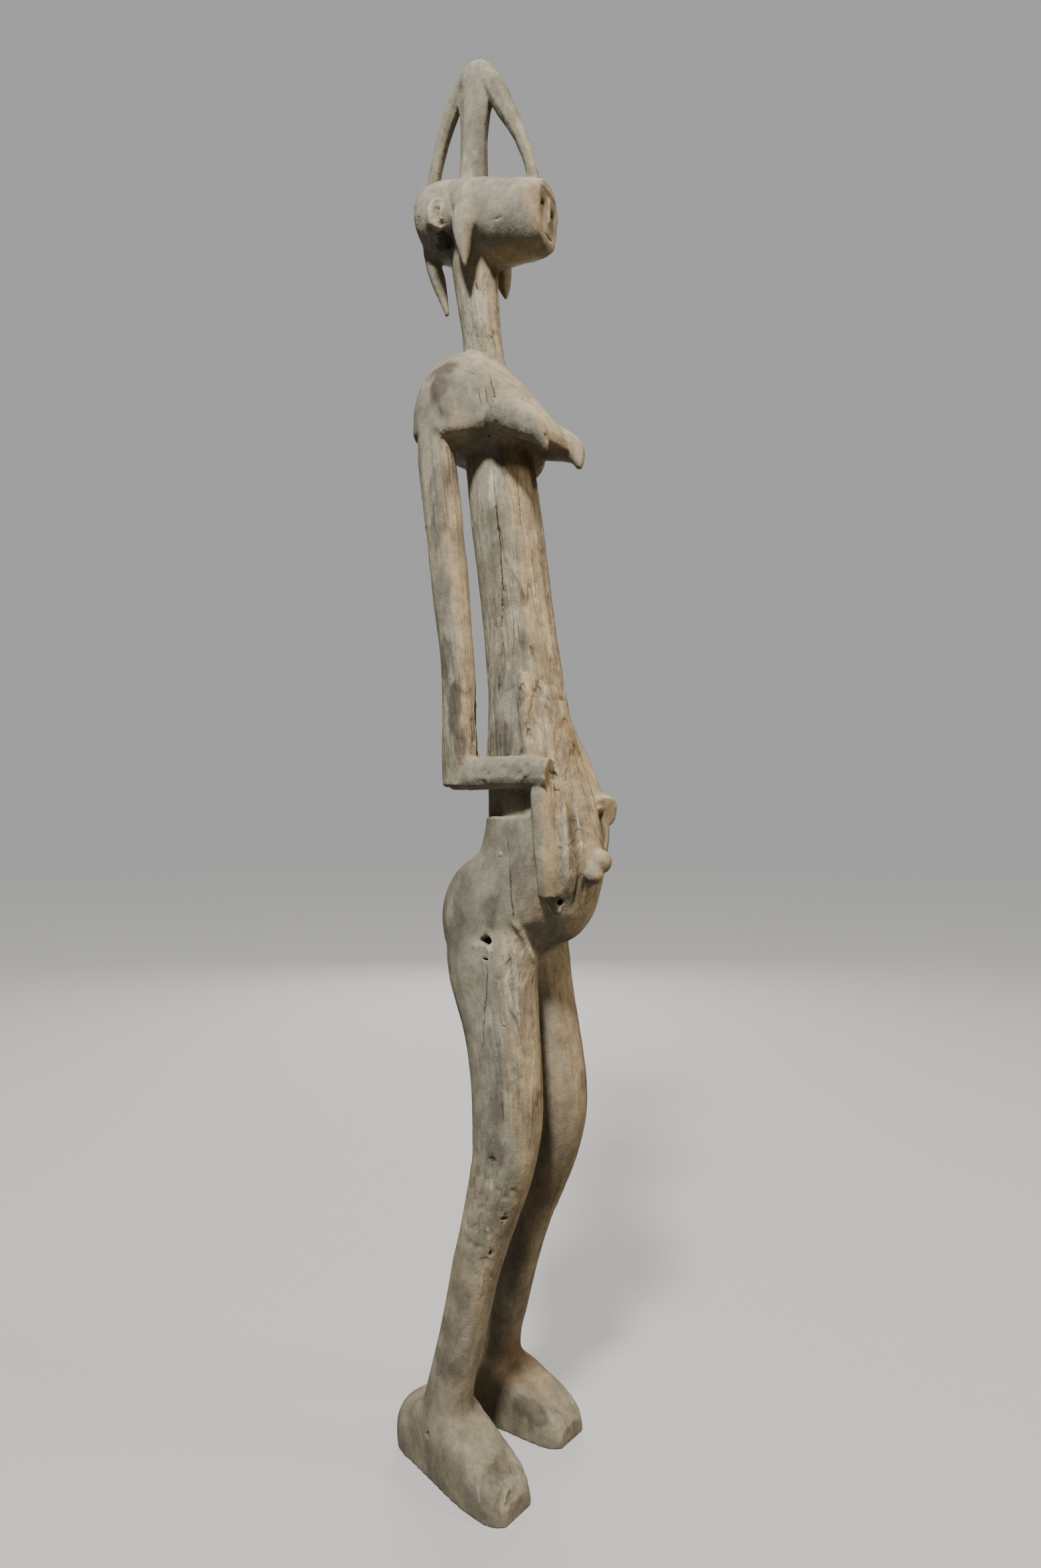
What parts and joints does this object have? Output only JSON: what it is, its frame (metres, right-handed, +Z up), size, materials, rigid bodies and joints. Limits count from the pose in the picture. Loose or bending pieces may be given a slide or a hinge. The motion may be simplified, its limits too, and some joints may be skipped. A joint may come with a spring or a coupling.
{
  "type": "male ritual figure",
  "caption": "Tall slender carved wooden standing figure with a looped crest, spiked head, forearms bent to the belly and flat feet.",
  "frame": {"origin": "centre of the bounding box at the level of the soles", "axes": "+Z up along the figure's height, -Y the way the chest faces, -X towards the figure's right hand"},
  "size_m": [0.17, 0.2476, 1.5],
  "materials": {
    "weathered_wood": "dry, grey-beige, cracked and worn, matt"
  },
  "bodies": {
    "root": {"figure": "weathered_wood"}
  },
  "joints": []
}
